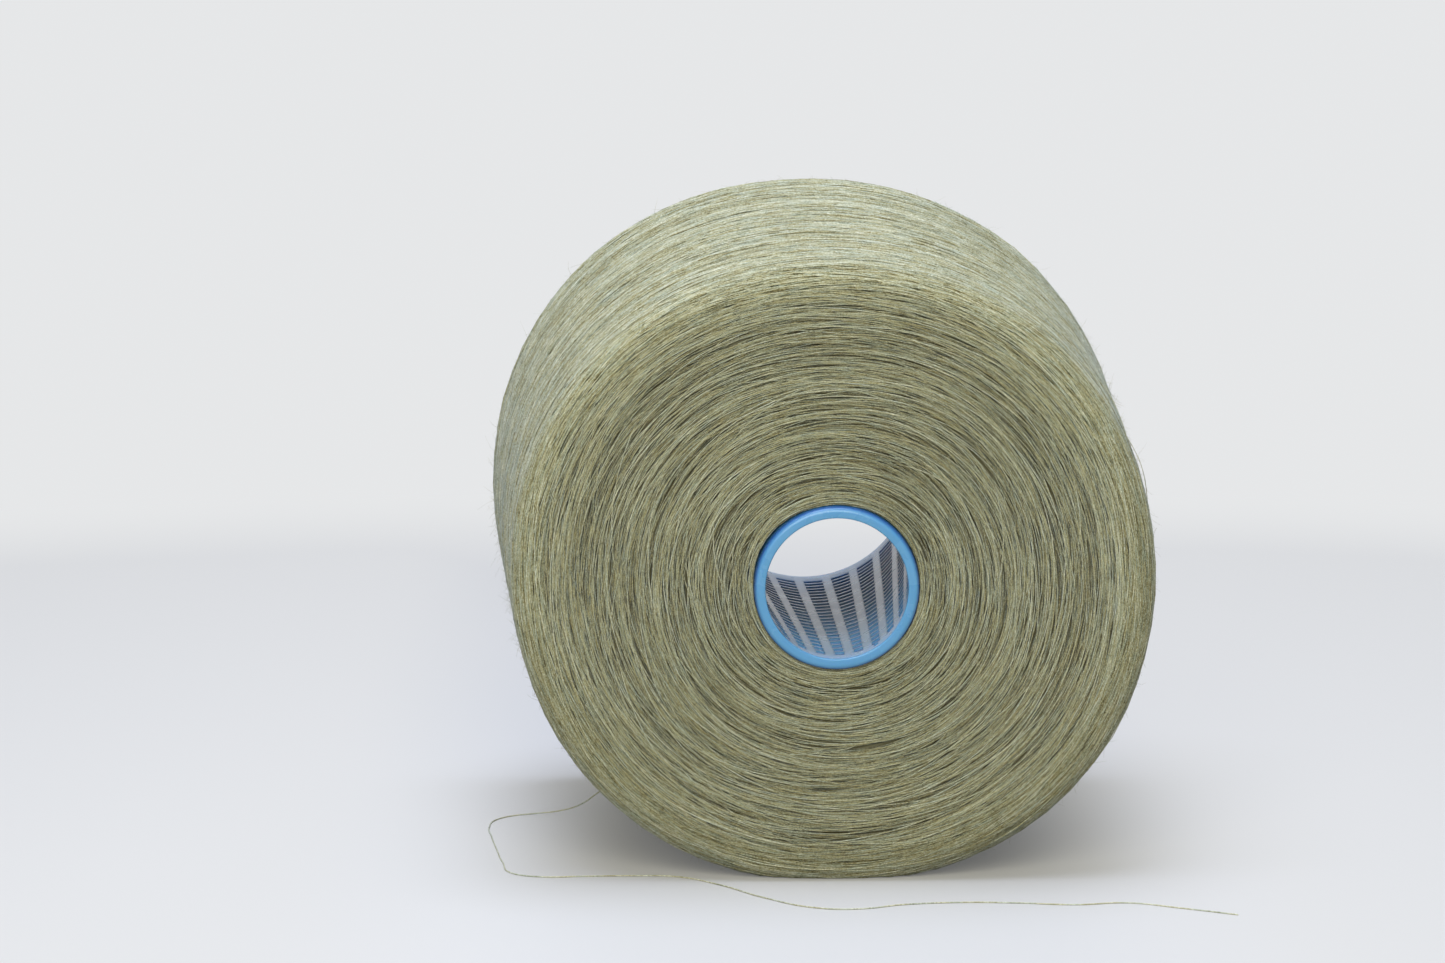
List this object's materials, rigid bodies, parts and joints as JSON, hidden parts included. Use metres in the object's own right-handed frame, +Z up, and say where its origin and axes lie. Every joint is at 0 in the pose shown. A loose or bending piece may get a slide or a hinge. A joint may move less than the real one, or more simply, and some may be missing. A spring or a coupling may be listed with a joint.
{
  "type": "linen yarn on a conical tube",
  "caption": "Cross-wound package of linen yarn on a perforated conical tube, lying on its side with its loose end on the surface.",
  "frame": {"origin": "under the middle of the package and its tube, on the surface they lie on", "axes": "+Z up; the tube's axis runs from the nose at -Y to the base at +Y and rises by 3.5 degrees"},
  "size_m": [0.1704, 0.2025, 0.1592],
  "materials": {
    "linen_yarn": "heathered grey-green linen, wound in fine turns with a dull sheen",
    "tube_plastic": "light blue moulded plastic, satin to glossy"
  },
  "bodies": {
    "root": {"yarn_package": "linen_yarn", "winding_tube": "tube_plastic", "loose_end": "linen_yarn"}
  },
  "joints": []
}
